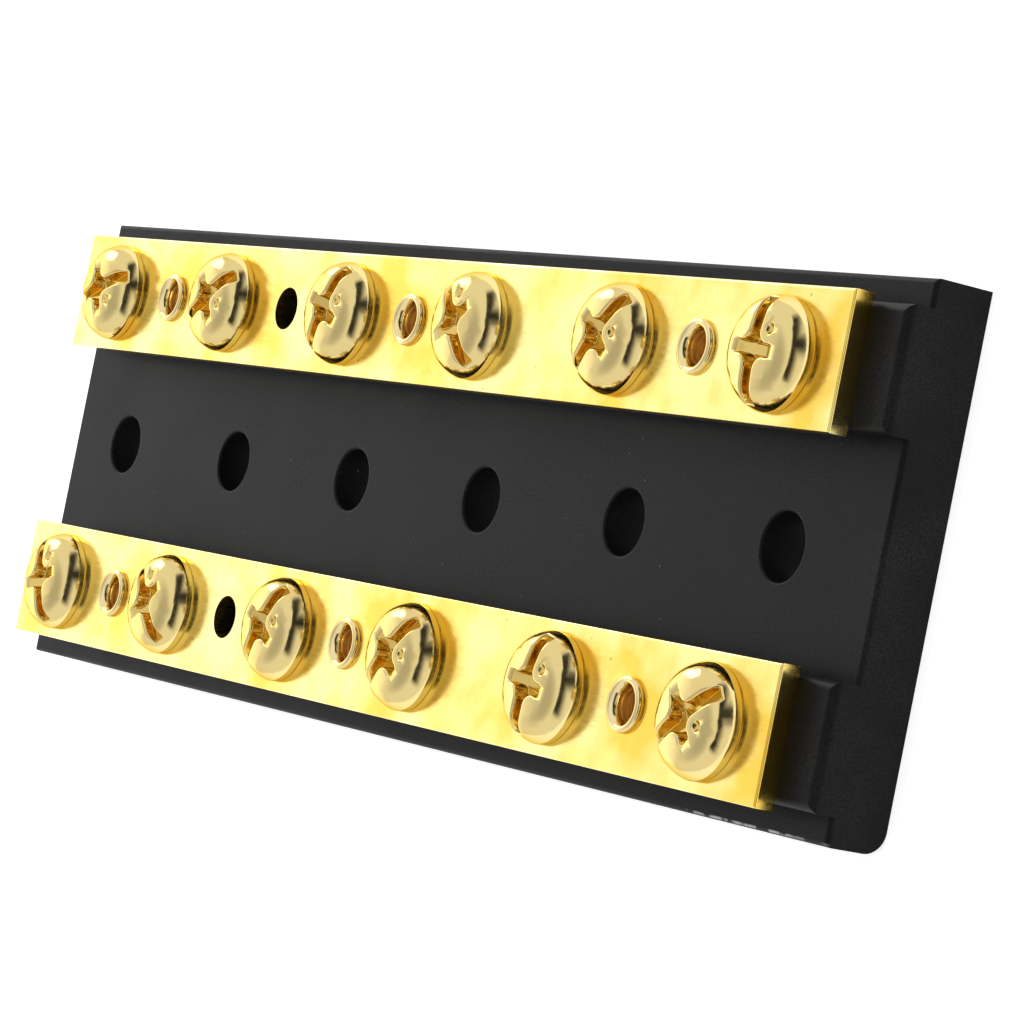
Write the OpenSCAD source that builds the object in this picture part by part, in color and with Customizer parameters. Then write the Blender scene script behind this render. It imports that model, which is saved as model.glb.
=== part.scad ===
// Dual-row bus bar: two brass strips on a moulded base, with terminal screws
// on each strip and a row of mounting holes along the rib between them.
// The base lies on its back in the XY plane. X runs along the strips towards
// the near end, Y across them towards the upper strip, and Z out of the face.

/* [Rows] */
// Terminal screws on each strip
columns = 6; // [4:2:10]
// Distance between neighbouring screws
pitch = 16.5; // [13:0.5:24]

/* [Base] */
// Thickness of the base between the strips
slab_h = 3.9; // [3:0.1:8]
// Height of the two platforms that carry the strips
platform_h = 1.5; // [0.8:0.1:4]
// Width of the rib that shows between the two strips
rib_w = 13; // [8:0.5:30]
// Width of the rim outside each strip
rim_w = 1.3; // [0.8:0.1:6]
// Length of base past the strips at the near end
near_margin = 3.5; // [1:0.1:10]
// Length of base past the strips at the far end
far_margin = 1.8; // [1:0.1:10]
// How far a strip overhangs its platform along each side
overhang = 0.4; // [0:0.05:0.8]
// Rounding of the front edges of the base
edge_r = 0.3; // [0.1:0.05:0.6]
// Rounding of the platform edges
platform_edge_r = 0.55; // [0.1:0.05:0.7]
// Rounding of the lower back edge
back_edge_r = 1.4; // [0.2:0.1:2]
// Diameter of the mounting holes in the rib
mount_hole_d = 4.1; // [3:0.1:6]
// Rounding of the front edge of each mounting hole
hole_edge_r = 0.2; // [0.05:0.05:0.5]
// Plastic left under each screw pocket
floor_t = 1.2; // [0.8:0.1:1.6]

/* [Brass strips] */
// Width of a strip
bar_w = 8.2; // [7.6:0.1:16]
// Thickness of a strip
bar_t = 1.3; // [0.8:0.1:3]
// Length of strip past the centre of its last screw
bar_end = 6.1; // [4.5:0.1:12]
// Rounding of the upper edges of a strip
bar_edge_r = 0.15; // [0.05:0.05:0.4]

/* [Terminal screws] */
// Thread diameter
screw_d = 4; // [3:0.1:4.5]
// Head diameter
head_d = 6.9; // [6:0.1:7.4]
// Height of the straight side of the head
head_side = 0.5; // [0.3:0.05:1]
// Radius of the shoulder between side and crown
shoulder_r = 1.4; // [0.8:0.05:1.6]
// Radius of the shallow crown
crown_r = 15; // [12:1:60]
// Bevel at the tip of the shank
tip_bevel = 0.4; // [0.1:0.05:0.7]

/* [Screw drive] */
// Width of the slot
slot_w = 0.95; // [0.6:0.05:1.4]
// Length of the flat floor of the slot
slot_floor_l = 5.3; // [4:0.1:5.6]
// Depth of the slot under the top of the crown
slot_depth = 1; // [0.6:0.05:1.2]
// Width of the wings of the cross
wing_w = 0.9; // [0.6:0.05:1.2]
// Length of the cross from wing tip to wing tip
cross_span = 3.6; // [2.8:0.1:4.4]
// Depth of the cross under the top of the crown
cross_depth = 1.5; // [1:0.05:1.6]
// Rounding of the four corners between slot and cross
corner_r = 0.8; // [0.3:0.05:1]
// Diameter of the dimple beside the cross
dimple_d = 0.75; // [0.4:0.05:1]
// Depth of the dimple
dimple_depth = 0.3; // [0.1:0.05:0.35]
// Distance of the dimple from the middle of the head
dimple_reach = 1.8; // [1.6:0.05:2]

/* [Eyelets] */
// Bore of an eyelet
eyelet_bore_d = 2.1; // [1.4:0.1:3]
// Wall of an eyelet
eyelet_wall = 0.35; // [0.2:0.05:0.6]
// How far the rolled lip stands out past the shank
lip_over = 0.3; // [0.15:0.05:0.6]
// Height of the lip below its rounded edge
lip_side = 0.15; // [0.1:0.05:0.6]
// Rounding of the outer edge of the lip
lip_edge_r = 0.24; // [0.1:0.01:0.3]
// Depth of the flared mouth of the bore
flare_depth = 0.6; // [0.3:0.05:1]

/* [Fits] */
// Gap around a screw in its strip
screw_gap = 0.05; // [0.02:0.01:0.1]
// Gap around a screw in its pocket in the base
pocket_gap = 0.4; // [0.2:0.05:0.6]
// Gap under the tip of a tightened screw
tip_gap = 0.5; // [0.3:0.1:1]
// Gap around an eyelet in its holes
eyelet_gap = 0.05; // [0.02:0.01:0.1]
// Gap around a rolled end in the back of the base
counterbore_gap = 0.4; // [0.2:0.05:0.8]
// Depth that a rolled end lies under the back of the base
counterbore_spare = 0.3; // [0.1:0.05:0.6]

/* [Hidden] */
$fn = 64;
// Sides of the crown's circle, of which a screw has only a small arc
crown_fn = 8 * $fn;
// Turn of each slot as the screws are tightened, in degrees from X
upper_turns = [20, 35, 65, 125, 50, 86];
lower_turns = [110, 128, 60, 48, 78, 35];
// Places between two columns that have a hole but no eyelet
spare_places = [2];
// Angle at which the rounded corners of the drive run into its walls
corner_meet = 15;
// Overrun of cutting bodies past the surface that they cut
cut = 0.1;

// Outline of the strips and the base
bar_l = (columns - 1) * pitch + 2 * bar_end;
base_l = bar_l + near_margin + far_margin;
base_w = rib_w + 2 * bar_w + 2 * rim_w;
row_x = (far_margin - near_margin) / 2;
row_y = (rib_w + bar_w) / 2;
platform_w = bar_w - 2 * overhang;

// Levels above the back of the base
platform_z = slab_h + platform_h;
bar_z = platform_z + bar_t;

// Terminal screw
screw_l = bar_z - floor_t - tip_gap;
shoulder_x = head_d / 2 - shoulder_r;
crown_z = head_side - sqrt(pow(crown_r - shoulder_r, 2) - pow(shoulder_x, 2));
head_h = crown_z + crown_r;
blend_x = shoulder_x * crown_r / (crown_r - shoulder_r);
wing_floor = wing_w;
corner_reach = corner_r * cos(corner_meet);
corner_end = corner_reach - corner_r * sin(corner_meet) / 2;
dimple_z = crown_z + sqrt(pow(crown_r, 2) - pow(dimple_reach, 2));
dimple_ball_r = (pow(dimple_d / 2, 2) + pow(dimple_depth, 2)) / (2 * dimple_depth);

// Eyelet
eyelet_d = eyelet_bore_d + 2 * eyelet_wall;
lip_d = eyelet_d + 2 * lip_over;
crest_r = lip_d / 2 - lip_edge_r;
lip_h = lip_side + lip_edge_r;
counterbore_h = lip_h + counterbore_spare;

// Columns are counted from the far end
function column_x(i) = row_x + (i - (columns + 1) / 2) * pitch;
function place_x(g) = (column_x(g) + column_x(g + 1)) / 2;
eyelet_places = [for (g = [1 : 2 : columns - 1]) g];
hole_places = concat(eyelet_places, spare_places);
function turn(turns, i) = turns[(i - 1) % len(turns)];

screw_numbers = [for (i = [1 : columns]) i];
eyelet_numbers = [for (i = [1 : len(eyelet_places)]) i];

// Outline of width w and height h with its two upper corners rounded
module rounded_top(w, h, r) {
    translate([-w / 2, 0]) square([w, h - r]);
    translate([r - w / 2, 0]) square([w - 2 * r, h]);
    for (side = [-1, 1]) translate([side * (w / 2 - r), h - r]) circle(r);
}

// Extrusions of an outline along X and along Y, with the outline's height along Z
module along_x(l) rotate([90, 0, 90]) linear_extrude(l, center = true) children();
module along_y(w) rotate([90, 0, 0]) linear_extrude(w, center = true) children();

// Block on the XY plane with all its upper edges rounded
module eased_block(l, w, h, r) {
    intersection() {
        along_x(l) rounded_top(w, h, r);
        along_y(w) rounded_top(l, h, r);
    }
}

// Section of the base between the strips, with its lower back edge rounded
module slab_section() {
    difference() {
        rounded_top(base_w, slab_h, edge_r);
        translate([-base_w / 2 - cut, -cut]) square(back_edge_r + cut);
    }
    translate([back_edge_r - base_w / 2, back_edge_r]) circle(back_edge_r);
}

module slab() {
    intersection() {
        along_x(base_l) slab_section();
        along_y(base_w) rounded_top(base_l, slab_h, edge_r);
    }
}

// Round hole through a plate of thickness h, with its front edge rounded
module eased_hole(d, h, r) {
    translate([0, 0, -cut]) cylinder(d = d, h = h + 2 * cut);
    translate([0, 0, h - r]) rotate_extrude() difference() {
        square([d / 2 + r, r + cut]);
        translate([d / 2 + r, 0]) circle(r);
    }
}

// Hole for an eyelet through base and strip, with room for the rolled end at the back
module eyelet_hole() {
    translate([0, 0, -cut]) cylinder(d = eyelet_d + 2 * eyelet_gap, h = bar_z + 2 * cut);
    translate([0, 0, -cut]) cylinder(d = lip_d + 2 * counterbore_gap, h = counterbore_h + cut);
}

module base() {
    color("#2c2c2e")
    difference() {
        union() {
            slab();
            for (side = [-1, 1]) translate([0, side * row_y, 0])
                eased_block(base_l, platform_w, platform_z, platform_edge_r);
        }
        for (i = screw_numbers) translate([column_x(i), 0, 0]) {
            eased_hole(mount_hole_d, slab_h, hole_edge_r);
            for (side = [-1, 1]) translate([0, side * row_y, floor_t])
                cylinder(d = screw_d + 2 * pocket_gap, h = bar_z);
        }
        for (g = hole_places, side = [-1, 1]) translate([place_x(g), side * row_y, 0]) eyelet_hole();
    }
}

module bar() {
    color("#e6cf5a")
    difference() {
        translate([row_x, 0, platform_z]) eased_block(bar_l, bar_w, bar_t, bar_edge_r);
        for (i = screw_numbers) translate([column_x(i), 0, platform_z - cut])
            cylinder(d = screw_d + 2 * screw_gap, h = bar_t + 2 * cut);
        for (g = hole_places) translate([place_x(g), 0, 0]) eyelet_hole();
    }
}

// Half section of the head: straight side, round shoulder and shallow crown
module head_section() {
    square([head_d / 2, head_side]);
    intersection() {
        translate([shoulder_x, head_side]) circle(shoulder_r);
        translate([0, head_side]) square([head_d / 2, shoulder_r]);
    }
    intersection() {
        translate([0, crown_z]) circle(crown_r, $fn = crown_fn);
        square([blend_x, head_h]);
    }
}

// Side view of a groove with sloping ends, open above the crown
module groove_section(floor_l, top_l, depth) {
    run = (top_l - floor_l) / 2 * (depth + cut) / depth;
    polygon([
        [-floor_l / 2, head_h - depth],
        [floor_l / 2, head_h - depth],
        [floor_l / 2 + run, head_h + cut],
        [-floor_l / 2 - run, head_h + cut]
    ]);
}

// Middle of the drive, which rounds the corners between slot and cross
module drive_corners() {
    difference() {
        square([wing_w + 2 * corner_end, slot_w + 2 * corner_end], center = true);
        for (x = [-1, 1], y = [-1, 1])
            translate([x * (wing_w / 2 + corner_reach), y * (slot_w / 2 + corner_reach)]) circle(corner_r);
    }
}

// Slot combined with a cross, and a dimple between two of the wings
module drive() {
    along_y(slot_w) groove_section(slot_floor_l, slot_floor_l + 2 * slot_depth, slot_depth);
    for (a = [0, 90]) rotate(a) along_y(wing_w) groove_section(wing_floor, cross_span, cross_depth);
    translate([0, 0, head_h - slot_depth]) linear_extrude(slot_depth + cut) drive_corners();
    rotate(-45) translate([dimple_reach, 0, dimple_z + dimple_ball_r - dimple_depth])
        sphere(dimple_ball_r);
}

// Terminal screw tightened on its strip, with its slot turned by a
module screw(a) {
    color("#e2cf96")
    translate([0, 0, bar_z]) rotate(a) {
        difference() {
            rotate_extrude() head_section();
            drive();
        }
        translate([0, 0, tip_bevel - screw_l]) cylinder(d = screw_d, h = screw_l - tip_bevel);
        translate([0, 0, -screw_l]) cylinder(d1 = screw_d - 2 * tip_bevel, d2 = screw_d, h = tip_bevel);
    }
}

// Half section of a rolled lip that stands on z = 0
module lip_section() {
    square([lip_d / 2, lip_side]);
    square([crest_r, lip_h]);
    intersection() {
        translate([crest_r, lip_side]) circle(lip_edge_r);
        square([lip_d / 2, lip_h]);
    }
}

// Half section of the bore's flared mouth, which opens at the top of a lip on z = 0
module flare_section() {
    polygon([
        [0, lip_h - flare_depth],
        [eyelet_bore_d / 2, lip_h - flare_depth],
        [crest_r, lip_h],
        [crest_r, lip_h + cut],
        [0, lip_h + cut]
    ]);
}

// Hollow rivet, rolled over the strip and into the back of the base
module eyelet() {
    color("#d9bd62")
    rotate_extrude() difference() {
        union() {
            translate([0, counterbore_h]) square([eyelet_d / 2, bar_z - counterbore_h]);
            translate([0, bar_z]) lip_section();
            translate([0, counterbore_h]) mirror([0, 1]) lip_section();
        }
        square([eyelet_bore_d / 2, bar_z + lip_h + cut]);
        translate([0, bar_z]) flare_section();
        translate([0, counterbore_h]) mirror([0, 1]) flare_section();
    }
}

base();
translate([0, row_y, 0]) bar();  // upper_bar
translate([0, -row_y, 0]) bar();  // lower_bar
for (i = screw_numbers) {
    translate([column_x(i), row_y, 0]) screw(turn(upper_turns, i));
    translate([column_x(i), -row_y, 0]) screw(turn(lower_turns, i));
}
for (i = eyelet_numbers) {
    translate([place_x(eyelet_places[i - 1]), row_y, 0]) eyelet();
    translate([place_x(eyelet_places[i - 1]), -row_y, 0]) eyelet();
}
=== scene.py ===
"""Two-row bus bar: a black moulded base, polished brass strips, terminal screws and rolled eyelets."""

import math

import bmesh
import bpy
from bpy.props import FloatProperty, FloatVectorProperty, PointerProperty
from mathutils import Matrix, Vector


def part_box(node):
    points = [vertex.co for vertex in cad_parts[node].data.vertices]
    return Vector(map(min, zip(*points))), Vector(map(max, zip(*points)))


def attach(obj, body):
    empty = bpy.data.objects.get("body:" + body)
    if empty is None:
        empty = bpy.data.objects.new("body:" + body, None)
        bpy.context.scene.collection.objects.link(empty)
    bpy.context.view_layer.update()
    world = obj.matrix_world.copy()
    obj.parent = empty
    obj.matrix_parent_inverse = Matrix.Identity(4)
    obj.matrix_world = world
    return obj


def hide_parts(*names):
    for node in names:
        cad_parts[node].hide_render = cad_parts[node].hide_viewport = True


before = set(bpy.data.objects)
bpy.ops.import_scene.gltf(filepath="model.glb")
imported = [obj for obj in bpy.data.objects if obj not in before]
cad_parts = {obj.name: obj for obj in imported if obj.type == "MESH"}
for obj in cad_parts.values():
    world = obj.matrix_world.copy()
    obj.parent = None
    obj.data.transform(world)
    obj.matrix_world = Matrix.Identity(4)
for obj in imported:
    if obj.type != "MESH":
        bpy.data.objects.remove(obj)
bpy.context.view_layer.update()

bl_info = {
    "name": "Bus bar",
    "version": (1, 0, 0),
    "blender": (4, 5, 0),
    "location": "View3D > Sidebar > Bus bar",
    "description": "Builds a two-row bus bar with terminal screws on brass strips",
    "category": "Add Mesh",
}

MM = 0.001

ROWS = ("upper", "lower")
BODY = "busbar"
# Setting of a Map Range node that eases both of its ends
SMOOTH = {"interpolation_type": "SMOOTHSTEP"}
# Numbers of the Mix node's sockets, of which several have the same name
SHARE = 0
FLOAT_A = 2
FLOAT_B = 3
COLOUR_A = 6
COLOUR_B = 7
FLOAT_OUT = 0
COLOUR_OUT = 2
# Rise of a slot's end wall for each unit of length
END_STEEPNESS = 3
# Power that shapes the dimple between a cone at 1 and a flat floor at large values
DIMPLE_POWER = 1.4
# Width of the camera's sensor in millimetres
SENSOR_WIDTH = 36.0
# Angle between faces of an eyelet from which their edge is drawn sharp
SHARP_ANGLE = math.radians(50)
# Turn of each screw's slot from X in degrees, counted from the far end
SLOT_TURNS = {
    "upper": (20, 35, 65, 125, 50, 86),
    "lower": (110, 128, 60, 48, 78, 35),
}
# Turn of the unevenness in each eyelet's lip, as a share of a full turn
LIP_TURNS = {
    "upper": (0.12, 0.55, 0.83),
    "lower": (0.31, 0.04, 0.68),
}
# Waves of a rolled lip: share of its unevenness, number in a turn and lead in radians
LIP_WAVES = ((0.6, 2, 0.0), (0.3, 5, 1.3), (0.25, 9, 0.0))
# Limits of the pale scuffs on the base's lower front edge, painted bright as glints of light: an axis,
# a start and a stop in millimetres, and how much of a painted glint shows at each of the two
SCUFF_GLINT_EDGE = (
    ("X", 34.0, 38.0, 0.0, 1.0),
    ("X", 45.0, 48.5, 1.0, 0.25),
    ("Y", -15.94, -15.89, 0.0, 1.0),
    ("Y", -15.82, -15.76, 1.0, 0.0),
    ("Z", 3.66, 3.74, 0.0, 1.0),
)
# Where the parts of the room start and end, as the cosine of the angle to their own direction
FAR_WALL = (-0.95, -0.75)
DIM_PATCH = (math.cos(math.radians(50)), math.cos(math.radians(4)))
GAP_TOP_EDGE = (0.2, 0.3)
GAP_LOW_EDGE = (-0.24, 0.06)
GAP_SIDES = (0.25, 0.5)
COLUMN_SIDES = (0.05, 0.55)


def linear(hex_colour):
    """Turns an sRGB hex colour into linear RGBA."""
    channels = [int(hex_colour[i : i + 2], 16) / 255 for i in (1, 3, 5)]
    curve = [c / 12.92 if c <= 0.04045 else ((c + 0.055) / 1.055) ** 2.4 for c in channels]
    return (*curve, 1.0)


def per_metre(size_mm):
    """Texture scale at which one cell of a pattern is that many millimetres across."""
    return 1000 / size_mm


def size(name, description, mm):
    """A length that the user can change, given in millimetres and kept in metres."""
    return FloatProperty(
        name=name, description=description, default=mm * MM, min=0, precision=5, unit="LENGTH"
    )


def angle(name, description, degrees):
    """An angle that the user can change, given in degrees and kept in radians."""
    return FloatProperty(
        name=name, description=description, default=math.radians(degrees), subtype="ANGLE"
    )


def colour(name, description, hex_colour):
    """A colour that the user can change."""
    return FloatVectorProperty(
        name=name,
        description=description,
        default=linear(hex_colour),
        size=4,
        min=0,
        max=1,
        subtype="COLOR",
    )


class ScrewSizes(bpy.types.PropertyGroup):
    """Sizes of a terminal screw."""

    head_radius: size("Head radius", "Radius of the pan head at its widest part", 3.45)
    belly: size("Belly", "Height of the widest part of the head", 0.38)
    foot_lean: angle("Foot lean", "Lean of the side under the widest part", 2)
    edge_radius: size("Edge", "Radius between the widest part and the leaning side", 0.5)
    side_lean: angle("Side lean", "Lean of the side where its edge ends", 16)
    side_radius: size("Side", "Radius of the leaning, bulging side", 3)
    shoulder_lean: angle("Shoulder lean", "Lean of the side where the shoulder starts", 32)
    shoulder_radius: size("Shoulder", "Radius between side and crown", 1.35)
    crown_radius: size("Crown", "Radius of the shallow crown", 15)
    slot_width: size("Slot width", "Distance between the walls of the slot", 0.84)
    slot_floor: size("Slot floor", "Length of the flat floor of the slot", 6)
    slot_depth: size("Slot depth", "Depth of the slot under the crown", 1.0)
    slot_ramp: size("Slot ramp", "Length in which the slot's floor turns up at its ends", 0.1)
    wing_width: size("Wing width", "Distance between the walls of the cross", 0.76)
    cross_span: size("Cross span", "Length of the cross from tip to tip", 3.6)
    cross_depth: size("Cross depth", "Depth of the cross under the crown", 1.5)
    corner_radius: size("Corner", "Rounding of the corners between slot and cross", 0.8)
    drive_edge: size("Drive edge", "Rounding of the upper edges of slot and cross", 0.19)
    wall_lean: size("Wall lean", "How far the walls of slot and cross lean outwards", 0.08)
    # Deeper than this, faces take the darker recess gold: duller plating together with painted shade
    # between the walls
    recess_start: size("Recess start", "Depth at which the duller plating of the recess starts", 0.08)
    dimple_reach: size("Dimple reach", "Distance of the dimple from the middle", 1.8)
    dimple_radius: size("Dimple radius", "Radius of the dimple's rim", 0.37)
    dimple_depth: size("Dimple depth", "Depth of the dimple", 0.42)
    shank_radius: size("Shank radius", "Outer radius of the thread", 2.0)
    tip_bevel: size("Tip bevel", "Bevel at the tip of the shank", 0.4)
    thread_pitch: size("Thread pitch", "Rise of the thread in one turn", 0.7)
    thread_depth: size("Thread depth", "Height of the thread's flanks", 0.43)


class EyeletSizes(bpy.types.PropertyGroup):
    """Sizes of a rolled eyelet."""

    bore_radius: size("Bore radius", "Radius of the open bore", 1.05)
    shank_radius: size("Shank radius", "Outer radius of the tube", 1.4)
    lip_radius: size("Lip radius", "Outer radius of the rolled lip", 1.7)
    lip_side: size("Lip side", "Height of the lip under its rounded edge", 0.15)
    lip_edge: size("Lip edge", "Rounding of the outer edge of the lip", 0.24)
    flare_depth: size("Flare depth", "Depth of the flared mouth", 0.6)
    ridge_pitch: size("Ridge pitch", "Distance between the ridges in the bore", 0.45)
    ridge_height: size("Ridge height", "Height of the ridges in the bore", 0.06)
    unevenness: size("Unevenness", "How far the rolled lip wanders from round", 0.035)


class FinishColours(bpy.types.PropertyGroup):
    """Colours of the finishes."""

    plastic: colour("Plastic", "Black of the base", "#0B0B0D")
    # This grey also paints the scuffs on the lower front edge bright, as glints of light
    dust: colour("Dust", "Grey of dust and scuffs on the plastic", "#B9BBBD")
    strip: colour("Strip", "Brass of the strips", "#FBE795")
    strip_deep: colour("Deep strip", "Warmer brass in patches of the strips", "#F3C84F")
    stain: colour("Stain", "Brown of specks on the brass", "#7A5210")
    screw: colour("Screw", "Plating of the screws", "#E5CF8E")
    # Deeper gold inside slot and cross: duller plating together with painted shade of the light lost
    # between their walls
    recess: colour("Recess", "Plating inside slot and cross", "#E1C271")
    eyelet: colour("Eyelet", "Plating of the eyelets", "#EED9A0")
    bore: colour("Bore", "Dull brass inside the eyelets", "#EFC56F")
    table: colour("Table", "White of the table", "#FBFBFA")


class StudioSettings(bpy.types.PropertyGroup):
    """Camera and lights."""

    eye: FloatVectorProperty(
        name="Eye",
        description="Place of the camera",
        default=(0.24992, -0.0073, 0.15349),
        subtype="TRANSLATION",
    )
    target: FloatVectorProperty(
        name="Target",
        description="Point that the camera looks at",
        default=(0.00508, -0.00028, 0.0),
        subtype="TRANSLATION",
    )
    roll: angle("Roll", "Turn of the camera from Y up", 11.22)
    lens: FloatProperty(
        name="Lens", description="Focal length on a 36 mm sensor", default=158.92, min=1, unit="CAMERA"
    )
    far_glow: FloatProperty(
        name="Far glow", description="Brightness of the far wall", default=2.0, min=0
    )
    roof_glow: FloatProperty(
        name="Roof glow", description="Brightness of the roof", default=1.0, min=0
    )
    dim_glow: FloatProperty(
        name="Dim glow", description="Brightness of the dim patch overhead", default=0.58, min=0
    )
    dim_side: FloatVectorProperty(
        name="Dim side",
        description="Direction of the middle of the dim patch",
        default=(-0.1, -0.25, 0.96),
        subtype="DIRECTION",
    )
    gap_glow: FloatProperty(
        name="Gap glow", description="Brightness of the dark near side", default=0.04, min=0
    )
    gap_side: FloatVectorProperty(
        name="Gap side",
        description="Direction of the middle of the dark gap",
        default=(0.98, 0.21, 0.0),
        subtype="DIRECTION",
    )
    gap_top: FloatVectorProperty(
        name="Gap top",
        description="Direction square to the plane of the dark gap's upper edge",
        default=(-0.416, 0.036, 0.909),
        subtype="DIRECTION",
    )
    column_across: FloatVectorProperty(
        name="Column across",
        description="Direction across the darkest column of the gap",
        default=(-0.39, 0.92, 0.0),
        subtype="DIRECTION",
    )
    key_place: FloatVectorProperty(
        name="Key place",
        description="Place of the soft key light",
        default=(-0.46, 0.31, 0.22),
        subtype="TRANSLATION",
    )
    key_size: size("Key size", "Width of the soft key light", 300)
    key_power: FloatProperty(
        name="Key power", description="Power of the soft key light", default=0.6, unit="POWER"
    )


def add(tree, kind, settings=None, inputs=None):
    """Adds a node. Settings go on the node, and an input is a value or a socket to link."""
    node = tree.nodes.new(kind)
    for name, value in (settings or {}).items():
        setattr(node, name, value)
    for name, value in (inputs or {}).items():
        if isinstance(value, bpy.types.NodeSocket):
            tree.links.new(value, node.inputs[name])
        else:
            node.inputs[name].default_value = value
    return node


def span(value, start, stop, low, high):
    """Inputs of a Map Range node that turns start to stop into low to high."""
    return {"Value": value, "From Min": start, "From Max": stop, "To Min": low, "To Max": high}


def new_material(name):
    """An empty material, its node tree and the place of a point on its object."""
    material = bpy.data.materials.new(name)
    material.use_nodes = True
    tree = material.node_tree
    tree.nodes.clear()
    return material, tree, add(tree, "ShaderNodeTexCoord").outputs["Object"]


def moulded_black_abs(colours):
    """Moulded ABS: matte black with a fine mould grain, clouds and specks of dust, and scuffs on the
    lower edge painted bright as glints.
    """
    material, tree, place = new_material("moulded_black_abs")
    grain = add(
        tree, "ShaderNodeTexNoise", None, {"Vector": place, "Scale": per_metre(0.14), "Detail": 2.0}
    )
    cloud = add(
        tree, "ShaderNodeTexNoise", None, {"Vector": place, "Scale": per_metre(6), "Detail": 5.0}
    )
    # A speck of dust sits in the middle of some of the cells
    cells = add(tree, "ShaderNodeTexVoronoi", None, {"Vector": place, "Scale": per_metre(1.1)})
    chosen = add(tree, "ShaderNodeSeparateColor", None, {"Color": cells.outputs["Color"]})
    speck_size = add(
        tree, "ShaderNodeMapRange", None, span(chosen.outputs["Red"], 0.8, 1.0, 0.0, 0.085)
    )
    speck = add(
        tree,
        "ShaderNodeMath",
        {"operation": "LESS_THAN"},
        {0: cells.outputs["Distance"], 1: speck_size.outputs["Result"]},
    )
    dusty = add(tree, "ShaderNodeMapRange", None, span(cloud.outputs["Fac"], 0.35, 0.75, 0.0, 0.018))
    # Dust stays in the hollows of the grain
    hollow = add(tree, "ShaderNodeMapRange", None, span(grain.outputs["Fac"], 0.35, 0.65, 1.8, 0.2))
    settled = add(
        tree,
        "ShaderNodeMath",
        {"operation": "MULTIPLY"},
        {0: dusty.outputs["Result"], 1: hollow.outputs["Result"]},
    )
    shown = add(
        tree,
        "ShaderNodeMath",
        {"operation": "MULTIPLY_ADD", "use_clamp": True},
        {0: speck.outputs["Value"], 1: 0.1, 2: settled.outputs["Value"]},
    )
    # Pale scuffs along the lower front edge, close to the near end, painted bright as glints of light
    scuff_glint_noise = add(
        tree, "ShaderNodeTexNoise", None, {"Vector": place, "Scale": per_metre(1.3), "Detail": 2.0}
    )
    scuff_glint = add(tree, "ShaderNodeMapRange", None, span(scuff_glint_noise.outputs["Fac"], 0.47, 0.57, 0.0, 0.9))
    pale = scuff_glint.outputs["Result"]
    spot = add(tree, "ShaderNodeSeparateXYZ", None, {"Vector": place})
    for axis, start, stop, low, high in SCUFF_GLINT_EDGE:
        limits = span(spot.outputs[axis], start * MM, stop * MM, low, high)
        there = add(tree, "ShaderNodeMapRange", None, limits)
        kept = add(
            tree,
            "ShaderNodeMath",
            {"operation": "MULTIPLY"},
            {0: pale, 1: there.outputs["Result"]},
        )
        pale = kept.outputs["Value"]
    # Dust specks and the painted glints on the edge both take the grey
    dust_and_glint = add(
        tree,
        "ShaderNodeMath",
        {"operation": "MAXIMUM"},
        {0: shown.outputs["Value"], 1: pale},
    )
    tint = add(
        tree,
        "ShaderNodeMix",
        {"data_type": "RGBA"},
        {SHARE: dust_and_glint.outputs["Value"], COLOUR_A: colours.plastic, COLOUR_B: colours.dust},
    )
    rough = add(tree, "ShaderNodeMapRange", None, span(cloud.outputs["Fac"], 0.3, 0.7, 0.42, 0.52))
    relief = add(
        tree,
        "ShaderNodeBump",
        None,
        {"Strength": 0.5, "Distance": 0.02 * MM, "Height": grain.outputs["Fac"]},
    )
    shader = add(
        tree,
        "ShaderNodeBsdfPrincipled",
        None,
        {
            "Base Color": tint.outputs[COLOUR_OUT],
            "Roughness": rough.outputs["Result"],
            "Normal": relief.outputs["Normal"],
            "IOR": 1.54,
            "Specular IOR Level": 0.085,
        },
    )
    add(tree, "ShaderNodeOutputMaterial", None, {"Surface": shader.outputs["BSDF"]})
    return material


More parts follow.
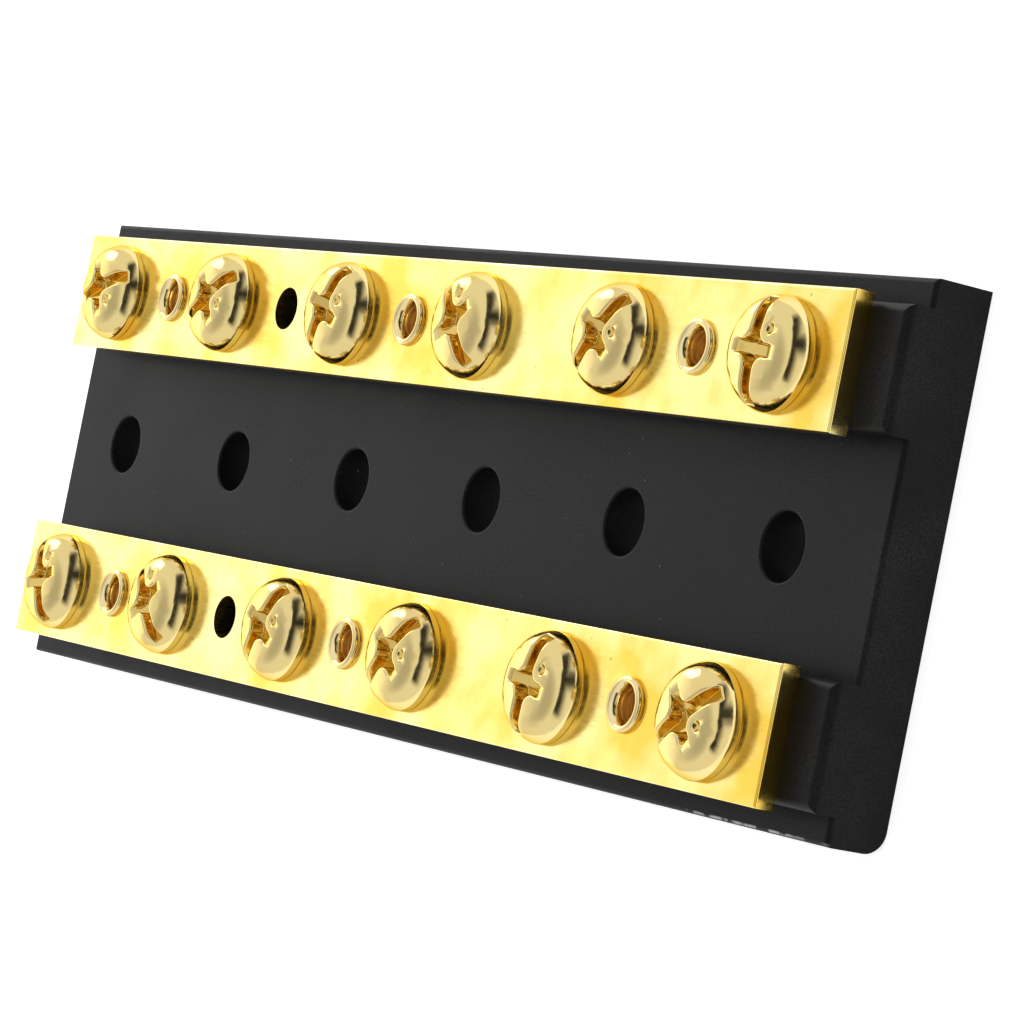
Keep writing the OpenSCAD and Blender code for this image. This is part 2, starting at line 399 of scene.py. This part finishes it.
def polished_brass_strip(colours):
    """Rolled and buffed brass: a soft mirror with faint rolling lines, arcs and brown specks."""
    material, tree, place = new_material("polished_brass_strip")
    patches = add(
        tree, "ShaderNodeTexNoise", None, {"Vector": place, "Scale": per_metre(7), "Detail": 4.0}
    )
    tone = add(tree, "ShaderNodeMapRange", None, span(patches.outputs["Fac"], 0.42, 0.62, 0.0, 1.0))
    brass = add(
        tree,
        "ShaderNodeMix",
        {"data_type": "RGBA"},
        {SHARE: tone.outputs["Result"], COLOUR_A: colours.strip, COLOUR_B: colours.strip_deep},
    )
    # Tarnish specks sit in the middle of some of the cells
    cells = add(tree, "ShaderNodeTexVoronoi", None, {"Vector": place, "Scale": per_metre(0.8)})
    chosen = add(tree, "ShaderNodeSeparateColor", None, {"Color": cells.outputs["Color"]})
    speck_size = add(
        tree, "ShaderNodeMapRange", None, span(chosen.outputs["Red"], 0.86, 1.0, 0.001, 0.2)
    )
    faded = add(
        tree,
        "ShaderNodeMath",
        {"operation": "DIVIDE", "use_clamp": True},
        {0: cells.outputs["Distance"], 1: speck_size.outputs["Result"]},
    )
    speck = add(tree, "ShaderNodeMapRange", SMOOTH, span(faded.outputs["Value"], 0.3, 1.0, 0.55, 0.0))
    tint = add(
        tree,
        "ShaderNodeMix",
        {"data_type": "RGBA"},
        {
            SHARE: speck.outputs["Result"],
            COLOUR_A: brass.outputs[COLOUR_OUT],
            COLOUR_B: colours.stain,
        },
    )
    # Rolling lines run along the strip
    along = add(tree, "ShaderNodeMapping", None, {"Vector": place, "Scale": (0.03, 1.0, 1.0)})
    lines = add(
        tree,
        "ShaderNodeTexNoise",
        None,
        {"Vector": along.outputs["Vector"], "Scale": per_metre(0.2), "Detail": 4.0},
    )
    # The buffing wheel leaves arcs on the higher waves of the strip
    arcs = add(
        tree,
        "ShaderNodeTexWave",
        {"wave_type": "RINGS", "rings_direction": "Z"},
        {"Vector": place, "Scale": per_metre(4), "Distortion": 3.0, "Detail": 2.0, "Detail Scale": 1.5},
    )
    waves = add(
        tree, "ShaderNodeTexNoise", None, {"Vector": place, "Scale": per_metre(5), "Detail": 1.0}
    )
    arc_share = add(
        tree, "ShaderNodeMapRange", SMOOTH, span(waves.outputs["Fac"], 0.52, 0.66, 0.0, 1.0)
    )
    arc_height = add(
        tree,
        "ShaderNodeMath",
        {"operation": "MULTIPLY"},
        {0: arcs.outputs["Fac"], 1: arc_share.outputs["Result"]},
    )
    rough = add(tree, "ShaderNodeMapRange", None, span(lines.outputs["Fac"], 0.3, 0.7, 0.13, 0.23))
    wavy = add(
        tree,
        "ShaderNodeBump",
        None,
        {"Strength": 0.5, "Distance": 0.1 * MM, "Height": waves.outputs["Fac"]},
    )
    buffed = add(
        tree,
        "ShaderNodeBump",
        None,
        {
            "Strength": 0.6,
            "Distance": 0.003 * MM,
            "Height": arc_height.outputs["Value"],
            "Normal": wavy.outputs["Normal"],
        },
    )
    rolled = add(
        tree,
        "ShaderNodeBump",
        None,
        {
            "Strength": 0.1,
            "Distance": 0.005 * MM,
            "Height": lines.outputs["Fac"],
            "Normal": buffed.outputs["Normal"],
        },
    )
    shader = add(
        tree,
        "ShaderNodeBsdfPrincipled",
        None,
        {
            "Base Color": tint.outputs[COLOUR_OUT],
            "Metallic": 1.0,
            "Roughness": rough.outputs["Result"],
            "Normal": rolled.outputs["Normal"],
        },
    )
    add(tree, "ShaderNodeOutputMaterial", None, {"Surface": shader.outputs["BSDF"]})
    return material


def plated_brass(name, tint, stain, smooth, coarse, metal=1.0):
    """Bright plating over formed brass: a pale, softly uneven mirror with marks and faint spots."""
    material, tree, place = new_material(name)
    marks = add(
        tree, "ShaderNodeTexNoise", None, {"Vector": place, "Scale": per_metre(0.35), "Detail": 4.0}
    )
    rough = add(tree, "ShaderNodeMapRange", None, span(marks.outputs["Fac"], 0.35, 0.7, smooth, coarse))
    spots = add(
        tree, "ShaderNodeTexNoise", None, {"Vector": place, "Scale": per_metre(1.1), "Detail": 6.0}
    )
    spotted = add(tree, "ShaderNodeMapRange", SMOOTH, span(spots.outputs["Fac"], 0.52, 0.8, 0.0, 0.3))
    brass = add(
        tree,
        "ShaderNodeMix",
        {"data_type": "RGBA"},
        {SHARE: spotted.outputs["Result"], COLOUR_A: tint, COLOUR_B: stain},
    )
    waves = add(
        tree, "ShaderNodeTexNoise", None, {"Vector": place, "Scale": per_metre(1.4), "Detail": 2.0}
    )
    wavy = add(
        tree,
        "ShaderNodeBump",
        None,
        {"Strength": 0.5, "Distance": 0.012 * MM, "Height": waves.outputs["Fac"]},
    )
    shader = add(
        tree,
        "ShaderNodeBsdfPrincipled",
        None,
        {
            "Base Color": brass.outputs[COLOUR_OUT],
            "Specular Tint": tint,
            "Metallic": metal,
            "Roughness": rough.outputs["Result"],
            "Normal": wavy.outputs["Normal"],
        },
    )
    add(tree, "ShaderNodeOutputMaterial", None, {"Surface": shader.outputs["BSDF"]})
    return material


def light_table(colours):
    """Frosted white acrylic lit from below, which leaves only faint contact shadows."""
    material, tree, place = new_material("frosted_acrylic_light_table")
    cloud = add(tree, "ShaderNodeTexNoise", None, {"Vector": place, "Scale": per_metre(40)})
    rough = add(tree, "ShaderNodeMapRange", None, span(cloud.outputs["Fac"], 0.3, 0.7, 0.75, 0.85))
    shader = add(
        tree,
        "ShaderNodeBsdfPrincipled",
        None,
        {
            "Base Color": colours.table,
            "Roughness": rough.outputs["Result"],
            "Specular IOR Level": 0.2,
            "Emission Color": colours.table,
            "Emission Strength": 0.6,
        },
    )
    add(tree, "ShaderNodeOutputMaterial", None, {"Surface": shader.outputs["BSDF"]})
    return material


def place_object(name, mesh):
    """Turns a bmesh into a smoothly shaded object in the scene."""
    for face in mesh.faces:
        face.smooth = True
    data = bpy.data.meshes.new(name)
    mesh.to_mesh(data)
    mesh.free()
    piece = bpy.data.objects.new(name, data)
    bpy.context.scene.collection.objects.link(piece)
    return piece


def dress(piece, *materials):
    """Gives a new piece its materials, in the order of its faces' material numbers."""
    for material in materials:
        piece.data.materials.append(material)


def dress_node(node, material):
    """Gives a solid of the frame a material without touching its mesh."""
    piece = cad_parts[node]
    for holder in piece.material_slots:
        holder.link = "OBJECT"
        holder.material = material


def stand_for(piece, body, node):
    """Ties a piece to its body and hides the solid that it stands for."""
    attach(piece, body)
    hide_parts(node)


def arc(x, z, radius, start, stop, steps):
    """Points of an arc about (x, z), with angles counted from +Z towards +X."""
    angles = [start + (stop - start) * i / steps for i in range(steps + 1)]
    return [(x + radius * math.sin(a), z + radius * math.cos(a)) for a in angles]


def skin(mesh, upper, lower):
    """Joins two rings of as many points with a band of faces."""
    for s in range(len(upper)):
        t = (s + 1) % len(upper)
        mesh.faces.new((upper[s], lower[s], lower[t], upper[t]))


def turned_rings(mesh, rows):
    """Adds rings of points about Z. Each row holds (radius, z) for every side."""
    rings = []
    for row in rows:
        turns = [math.tau * s / len(row) for s in range(len(row))]
        points = [(r * math.cos(a), r * math.sin(a), z) for a, (r, z) in zip(turns, row)]
        rings.append([mesh.verts.new(point) for point in points])
    return rings


class BUSBAR_OT_stage(bpy.types.Operator):
    """Add the white table, the lights and the camera"""

    bl_idname = "busbar.stage"
    bl_label = "Stage"

    def execute(self, context):
        studio = context.scene.busbar_studio
        self.table(context.scene.busbar_colours)
        self.room(context, studio)
        self.key_light(context, studio)
        self.camera(context, studio)
        return {"FINISHED"}

    def table(self, colours):
        half = 2.0
        level = -0.02 * MM
        mesh = bmesh.new()
        corners = [(-half, -half), (half, -half), (half, half), (-half, half)]
        mesh.faces.new([mesh.verts.new((x, y, level)) for x, y in corners])
        table = place_object("table", mesh)
        dress(table, light_table(colours))

    def room(self, context, studio):
        """A white room with a bright far wall, a dim patch overhead and a dark gap on the near side."""
        world = bpy.data.worlds.new("white_room")
        world.use_nodes = True
        tree = world.node_tree
        tree.nodes.clear()
        way = add(tree, "ShaderNodeTexCoord").outputs["Generated"]
        parts = add(tree, "ShaderNodeSeparateXYZ", None, {"Vector": way})
        x = parts.outputs["X"]
        far_limits = span(x, *FAR_WALL, studio.far_glow, studio.roof_glow)
        far = add(tree, "ShaderNodeMapRange", SMOOTH, far_limits)
        upward = self.along(tree, way, studio.dim_side)
        dim = add(tree, "ShaderNodeMapRange", SMOOTH, span(upward, *DIM_PATCH, 0.0, 1.0))
        glow = add(
            tree,
            "ShaderNodeMix",
            None,
            {
                SHARE: dim.outputs["Result"],
                FLOAT_A: far.outputs["Result"],
                FLOAT_B: studio.dim_glow,
            },
        )
        rise = self.along(tree, way, studio.gap_top)
        under_edge = add(tree, "ShaderNodeMapRange", SMOOTH, span(rise, *GAP_TOP_EDGE, 1.0, 0.0))
        near_edge = add(tree, "ShaderNodeMapRange", SMOOTH, span(rise, *GAP_LOW_EDGE, 0.0, 1.0))
        across = self.along(tree, way, studio.column_across)
        off_middle = add(tree, "ShaderNodeMath", {"operation": "ABSOLUTE"}, {0: across})
        column_limits = span(off_middle.outputs["Value"], *COLUMN_SIDES, 1.0, 0.0)
        column = add(tree, "ShaderNodeMapRange", SMOOTH, column_limits)
        either = add(
            tree,
            "ShaderNodeMath",
            {"operation": "MAXIMUM"},
            {0: near_edge.outputs["Result"], 1: column.outputs["Result"]},
        )
        sideways = self.along(tree, way, studio.gap_side)
        near_half = add(tree, "ShaderNodeMapRange", SMOOTH, span(sideways, *GAP_SIDES, 0.0, 1.0))
        gap = add(
            tree,
            "ShaderNodeMath",
            {"operation": "MULTIPLY"},
            {0: under_edge.outputs["Result"], 1: near_half.outputs["Result"]},
        )
        dark = add(
            tree,
            "ShaderNodeMath",
            {"operation": "MULTIPLY"},
            {0: gap.outputs["Value"], 1: either.outputs["Value"]},
        )
        strength = add(
            tree,
            "ShaderNodeMix",
            None,
            {
                SHARE: dark.outputs["Value"],
                FLOAT_A: glow.outputs[FLOAT_OUT],
                FLOAT_B: studio.gap_glow,
            },
        )
        backdrop = add(
            tree,
            "ShaderNodeBackground",
            None,
            {"Color": (1.0, 1.0, 1.0, 1.0), "Strength": strength.outputs[FLOAT_OUT]},
        )
        add(tree, "ShaderNodeOutputWorld", None, {"Surface": backdrop.outputs["Background"]})
        context.scene.world = world

    def along(self, tree, way, side):
        """How far a direction of the room points to a side, from -1 to 1."""
        node = add(
            tree,
            "ShaderNodeVectorMath",
            {"operation": "DOT_PRODUCT"},
            {0: way, 1: Vector(side).normalized()},
        )
        return node.outputs["Value"]

    def key_light(self, context, studio):
        light = bpy.data.lights.new("key_light", "AREA")
        light.shape = "DISK"
        light.size = studio.key_size
        light.energy = studio.key_power
        lamp = bpy.data.objects.new("key_light", light)
        lamp.location = studio.key_place
        lamp.rotation_mode = "QUATERNION"
        lamp.rotation_quaternion = (-Vector(studio.key_place)).to_track_quat("-Z", "Y")
        context.scene.collection.objects.link(lamp)

    def camera(self, context, studio):
        data = bpy.data.cameras.new("camera")
        data.lens = studio.lens
        data.sensor_width = SENSOR_WIDTH
        data.clip_start = 10 * MM
        camera = bpy.data.objects.new("camera", data)
        back = (Vector(studio.eye) - Vector(studio.target)).normalized()
        right = Vector((0, 1, 0)).cross(back).normalized()
        upright = Matrix((right, back.cross(right), back)).transposed()
        turned = upright @ Matrix.Rotation(studio.roll, 3, "Z")
        camera.matrix_world = Matrix.Translation(studio.eye) @ turned.to_4x4()
        context.scene.collection.objects.link(camera)
        context.scene.camera = camera
        context.scene.view_settings.view_transform = "Standard"


class BUSBAR_OT_base(bpy.types.Operator):
    """Dress the moulded base"""

    bl_idname = "busbar.base"
    bl_label = "Base"

    def execute(self, context):
        dress_node("base", moulded_black_abs(context.scene.busbar_colours))
        return {"FINISHED"}


class BUSBAR_OT_strips(bpy.types.Operator):
    """Dress the two brass strips"""

    bl_idname = "busbar.strips"
    bl_label = "Strips"

    def execute(self, context):
        brass = polished_brass_strip(context.scene.busbar_colours)
        for row in ROWS:
            dress_node(f"{row}_bar", brass)
        return {"FINISHED"}


class BUSBAR_OT_screws(bpy.types.Operator):
    """Build the terminal screws"""

    bl_idname = "busbar.screws"
    bl_label = "Terminal screws"

    def execute(self, context):
        self.sizes = context.scene.busbar_screw
        self.arcs = self.outline()
        colours = context.scene.busbar_colours
        plating = plated_brass(
            "plated_brass_screw", colours.screw, colours.strip_deep, smooth=0.08, coarse=0.17
        )
        # Darker gold for slot and cross: duller plating together with painted shade inside the recess
        recess_plating_and_shade = plated_brass(
            "stamped_brass_recess_painted_shade", colours.recess, colours.stain, smooth=0.1, coarse=0.22
        )
        strip_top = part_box("upper_bar")[1].z
        pattern = self.screw(strip_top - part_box("upper_screw_1")[0].z)
        for row in ROWS:
            for number, turn in enumerate(SLOT_TURNS[row], 1):
                node = f"{row}_screw_{number}"
                low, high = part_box(node)
                middle = (low + high) / 2
                data = pattern.data.copy()
                turned = Matrix.Rotation(math.radians(turn), 4, "Z")
                data.transform(Matrix.Translation((middle.x, middle.y, strip_top)) @ turned)
                piece = bpy.data.objects.new(f"{row}_terminal_screw_{number}", data)
                context.scene.collection.objects.link(piece)
                dress(piece, plating, recess_plating_and_shade)
                stand_for(piece, node, node)
        bpy.data.objects.remove(pattern)
        return {"FINISHED"}

    def outline(self):
        """Arcs from side to crown, as (middle, radius, inner reach), each running into the next."""
        s = self.sizes
        arcs = []
        point = Vector((s.head_radius, s.belly))
        lean = 0.0
        for radius, end in ((s.edge_radius, s.side_lean), (s.side_radius, s.shoulder_lean)):
            middle = self.on_arc(point, lean, -radius)
            point = self.on_arc(middle, end, radius)
            arcs.append((middle, radius, point.x))
            lean = end
        middle = self.on_arc(point, lean, -s.shoulder_radius)
        step = s.crown_radius - s.shoulder_radius
        arcs.append((middle, s.shoulder_radius, middle.x * s.crown_radius / step))
        drop = math.sqrt(step**2 - middle.x**2)
        arcs.append((Vector((0.0, middle.y - drop)), s.crown_radius, 0.0))
        return arcs

    def on_arc(self, middle, lean, radius):
        """Point (reach, height) of an arc where the head's side has that lean."""
        return middle + radius * Vector((math.cos(lean), math.sin(lean)))

    def crown(self, reach):
        """Height of the bare head at a distance from its axis."""
        middle, radius, _ = next(bend for bend in self.arcs if reach >= bend[2])
        return middle.y + math.sqrt(max(0.0, radius**2 - (reach - middle.x) ** 2))

    def groove(self, gap, floor, crown):
        """Height in a groove at a distance outside its wall, with its upper edge rounded."""
        if floor >= crown:
            return crown
        edge = min(self.sizes.drive_edge, crown - floor)
        if gap >= edge:
            return crown
        if gap >= 0:
            return crown - edge + math.sqrt(edge**2 - (edge - gap) ** 2)
        share = min(1.0, -gap / self.sizes.wall_lean)
        return crown - edge + share * (floor - crown + edge)

    def head_height(self, x, y):
        """Height of the finished head over a point, with slot, cross and dimple."""
        s = self.sizes
        top = self.crown(0.0)
        crown = self.crown(math.hypot(x, y))
        past = max(0.0, abs(x) - s.slot_floor / 2)
        rise = past**2 / (2 * s.slot_ramp) if past < s.slot_ramp else past - s.slot_ramp / 2
        slot_floor = top - s.slot_depth + END_STEEPNESS * rise
        steep = s.cross_depth / (s.cross_span / 2 - s.wing_width / 2)
        wing_floor = top - s.cross_depth + max(0.0, abs(y) - s.wing_width / 2) * steep
        slot_gap = abs(y) - s.slot_width / 2
        wing_gap = abs(x) - s.wing_width / 2
        round_r = s.corner_radius
        inside = math.hypot(max(0.0, round_r - slot_gap), max(0.0, round_r - wing_gap))
        corner_gap = max(round_r, min(slot_gap, wing_gap)) - inside
        height = min(
            self.groove(slot_gap, slot_floor, crown),
            self.groove(wing_gap, wing_floor, crown),
            self.groove(corner_gap, max(slot_floor, wing_floor), crown),
        )
        # The dimple sits halfway between slot and cross
        spot = s.dimple_reach * math.sqrt(0.5)
        off = math.hypot(x - spot, y + spot) / s.dimple_radius
        if off < 1:
            height -= s.dimple_depth * (1 - off**DIMPLE_POWER)
        return height

    def grid_lines(self, width):
        """Places of the grid's lines on one side of the axis, close together at a groove's wall."""
        s = self.sizes
        half = width / 2
        lean = s.wall_lean
        floor_share = 0.45
        wall_foot = 0.03 * MM
        corner_step = 0.055 * MM
        dimple_step = 0.065 * MM
        least_step = 0.04 * MM
        lines = [0.0, floor_share * half, half - lean - wall_foot]
        lines += [half - share * lean for share in (1.0, 0.9, 0.5, 0.0)]
        edge_leans = [math.radians(a) for a in (75, 60, 45, 30, 15, 0)]
        lines += [half + s.drive_edge * (1 - math.sin(a)) for a in edge_leans]
        corner_end = half + s.corner_radius
        dimple_end = s.dimple_reach * math.sqrt(0.5) + s.dimple_radius
        for stop, step in ((corner_end, corner_step), (dimple_end, dimple_step)):
            count = math.ceil((stop - lines[-1]) / step)
            lines += [lines[-1] + (stop - lines[-1]) * i / count for i in range(1, count + 1)]
        outer = [s.head_radius]
        arc_steps = (3, 6, 9)
        for (middle, radius, inner), steps in zip(self.arcs, arc_steps):
            shares = [(reach - middle.x) / radius for reach in (outer[0], inner)]
            start, stop = [math.acos(min(1.0, share)) for share in shares]
            leans = [stop + (start - stop) * i / steps for i in range(steps)]
            outer = [self.on_arc(middle, lean, radius).x for lean in leans] + outer
        return lines + [line for line in outer if line > lines[-1] + least_step]

    def on_disc(self, x, y):
        """Moves a point of the square grid so that the grid's border becomes the head's round rim."""
        rim = self.sizes.head_radius
        straight_share = 0.58
        straight = straight_share * rim
        square = max(abs(x), abs(y))
        share = min(1.0, max(0.0, (square - straight) / (rim - straight)))
        share = share * share * (3 - 2 * share)
        reach = math.hypot(x, y)
        scale = 1 - share + share * square / reach if reach else 1.0
        return x * scale, y * scale

    def head(self, mesh):
        """Adds the head and returns the ring at its seat."""
        s = self.sizes
        across = self.grid_lines(s.wing_width)
        along = self.grid_lines(s.slot_width)
        columns = [-x for x in across[:0:-1]] + across
        rows = [-y for y in along[:0:-1]] + along
        grid = []
        for y in rows:
            places = [self.on_disc(x, y) for x in columns]
            grid.append([mesh.verts.new((px, py, self.head_height(px, py))) for px, py in places])
        for front, back in zip(grid, grid[1:]):
            for i in range(len(columns) - 1):
                face = mesh.faces.new((front[i], front[i + 1], back[i + 1], back[i]))
                depth = sum(self.crown(v.co.xy.length) - v.co.z for v in face.verts) / 4
                # Faces deep in slot and cross take the darker gold: duller plating together with
                # painted shade
                face.material_index = 1 if depth > s.recess_start else 0
        near_half = grid[0][:-1] + [row[-1] for row in grid[:-1]]
        far_half = grid[-1][:0:-1] + [row[0] for row in grid[:0:-1]]
        outermost = near_half + far_half
        # From the widest part down to the seat the side leans in on an arc
        rim = outermost
        radius = s.belly / math.sin(s.foot_lean)
        middle = Vector((s.head_radius - radius, s.belly))
        steps = 4
        for i in range(1, steps + 1):
            r, z = self.on_arc(middle, -s.foot_lean * i / steps, radius)
            scale = r / s.head_radius
            ring = [mesh.verts.new((v.co.x * scale, v.co.y * scale, z)) for v in outermost]
            skin(mesh, rim, ring)
            rim = ring
        return rim

    def thread_radius(self, z, turn, length):
        """Radius of the threaded shank at a level under the head and a share of a turn."""
        s = self.sizes
        # A share of each pitch is flat root, a larger one is flank, and the rest is flat crest
        root_share = 0.12
        flank_share = 0.7
        plain_length = 0.1 * MM
        fade_length = 0.5 * MM
        flank = abs(2 * ((z / s.thread_pitch + turn) % 1.0) - 1)
        rise = min(1.0, max(0.0, (flank - root_share) / flank_share))
        run_out = min(1.0, max(0.0, (-z - plain_length) / fade_length))
        cut = s.thread_depth * (1 - rise) * run_out
        return min(s.shank_radius - cut, s.shank_radius - s.tip_bevel + z + length)

    def screw(self, length):
        """One screw with its seat at z = 0 and its slot along X."""
        sides = 72
        levels = 64
        mesh = bmesh.new()
        seat = self.head(mesh)
        rows = []
        for level in range(levels + 1):
            z = -length * level / levels
            rows.append([(self.thread_radius(z, i / sides, length), z) for i in range(sides)])
        rings = turned_rings(mesh, rows)
        for upper, lower in zip(rings, rings[1:]):
            skin(mesh, upper, lower)
        tip = mesh.verts.new((0, 0, -length))
        for a, b in zip(rings[-1], rings[-1][1:] + rings[-1][:1]):
            mesh.faces.new((tip, b, a))
        loops = []
        for ring in (seat, rings[0]):
            loops += [mesh.edges.get(pair) for pair in zip(ring, ring[1:] + ring[:1])]
        bmesh.ops.bridge_loops(mesh, edges=loops)
        return place_object("screw_pattern", mesh)


class BUSBAR_OT_eyelets(bpy.types.Operator):
    """Build the rolled eyelets"""

    bl_idname = "busbar.eyelets"
    bl_label = "Eyelets"

    def execute(self, context):
        sizes = context.scene.busbar_eyelet
        colours = context.scene.busbar_colours
        plating = plated_brass(
            "rolled_brass_eyelet", colours.eyelet, colours.strip_deep, smooth=0.07, coarse=0.16
        )
        dull = plated_brass(
            "drawn_brass_bore", colours.bore, colours.stain, smooth=0.3, coarse=0.45, metal=0.75
        )
        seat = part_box("upper_bar")[1].z
        for row in ROWS:
            for number, lip_turn in enumerate(LIP_TURNS[row], 1):
                node = f"{row}_eyelet_{number}"
                low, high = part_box(node)
                middle = (low + high) / 2
                piece = self.eyelet(f"{row}_rolled_eyelet_{number}", sizes, low.z, seat, lip_turn)
                piece.data.transform(Matrix.Translation((middle.x, middle.y, 0)))
                piece.data.set_sharp_from_angle(angle=SHARP_ANGLE)
                dress(piece, plating, dull)
                stand_for(piece, BODY, node)
        return {"FINISHED"}

    def lip(self, sizes):
        """Half section of a lip that stands on z = 0, from its foot over its crest into the bore."""
        crest = sizes.lip_radius - sizes.lip_edge
        foot = 0.05 * MM
        roll_end = -math.pi / 5
        outline = [(sizes.shank_radius, 0.0)]
        outline += arc(sizes.lip_radius - foot, foot, foot, math.pi, math.pi / 2, steps=3)
        outline += arc(crest, sizes.lip_side, sizes.lip_edge, math.pi / 2, roll_end, steps=16)
        r0, z0 = outline[-1]
        end = sizes.lip_side + sizes.lip_edge - sizes.flare_depth
        steps = 8
        for i in range(1, steps + 1):
            share = i / steps
            eased = share * (2 - share)
            outline.append((r0 + (sizes.bore_radius - r0) * eased, z0 + (end - z0) * share))
        return outline

    def eyelet(self, name, sizes, low, seat, lip_turn):
        """A tube with a rolled lip at each end and ridges in its bore."""
        sides = 80
        wall_fade = 0.25 * MM
        inset = 0.1 * MM
        upper = [(r, seat + z) for r, z in self.lip(sizes)]
        base = low + sizes.lip_side + sizes.lip_edge
        lower = [(r, base - z) for r, z in reversed(self.lip(sizes))]
        start, stop = upper[-1][1], lower[0][1]
        steps = 64
        bore = []
        for i in range(1, steps):
            z = start + (stop - start) * i / steps
            ridge = 0.5 - 0.5 * math.cos(math.tau * (start - z) / sizes.ridge_pitch)
            bore.append((sizes.bore_radius - sizes.ridge_height * ridge, z))
        rows = []
        for r, z in upper + bore + lower:
            row = []
            for s in range(sides):
                turn = math.tau * (s / sides + lip_turn)
                wander = sum(high * math.sin(count * turn + lead) for high, count, lead in LIP_WAVES)
                inner = min(1.0, max(0.0, (sizes.shank_radius - r) / wall_fade))
                row.append((r - sizes.unevenness * inner * max(0.0, wander), z))
            rows.append(row)
        mesh = bmesh.new()
        rings = turned_rings(mesh, rows)
        for a, b in zip(rings, rings[1:] + rings[:1]):
            skin(mesh, a, b)
        for face in mesh.faces:
            middle = face.calc_center_median()
            deep = start - inset > middle.z > stop + inset
            in_bore = middle.xy.length < sizes.shank_radius - inset
            face.material_index = 1 if deep and in_bore else 0
        bmesh.ops.recalc_face_normals(mesh, faces=mesh.faces)
        return place_object(name, mesh)


class BUSBAR_PT_panel(bpy.types.Panel):
    """Buttons and sizes of the bus bar"""

    bl_label = "Bus bar"
    bl_idname = "BUSBAR_PT_panel"
    bl_space_type = "VIEW_3D"
    bl_region_type = "UI"
    bl_category = "Bus bar"

    def draw(self, context):
        for operator in OPERATORS:
            self.layout.operator(operator.bl_idname)
        for name in GROUPS:
            box = self.layout.box()
            group = getattr(context.scene, name)
            for prop in group.__annotations__:
                box.prop(group, prop)


GROUPS = {
    "busbar_screw": ScrewSizes,
    "busbar_eyelet": EyeletSizes,
    "busbar_colours": FinishColours,
    "busbar_studio": StudioSettings,
}
OPERATORS = (BUSBAR_OT_stage, BUSBAR_OT_base, BUSBAR_OT_strips, BUSBAR_OT_screws, BUSBAR_OT_eyelets)


def register():
    for cls in (*GROUPS.values(), *OPERATORS, BUSBAR_PT_panel):
        bpy.utils.register_class(cls)
    for name, group in GROUPS.items():
        setattr(bpy.types.Scene, name, PointerProperty(type=group))


def unregister():
    for name in GROUPS:
        delattr(bpy.types.Scene, name)
    for cls in (BUSBAR_PT_panel, *reversed(OPERATORS), *reversed(GROUPS.values())):
        bpy.utils.unregister_class(cls)


def main():
    register()
    bpy.ops.busbar.stage()
    bpy.ops.busbar.base()
    bpy.ops.busbar.strips()
    bpy.ops.busbar.screws()
    bpy.ops.busbar.eyelets()


if __name__ == "__main__":
    main()
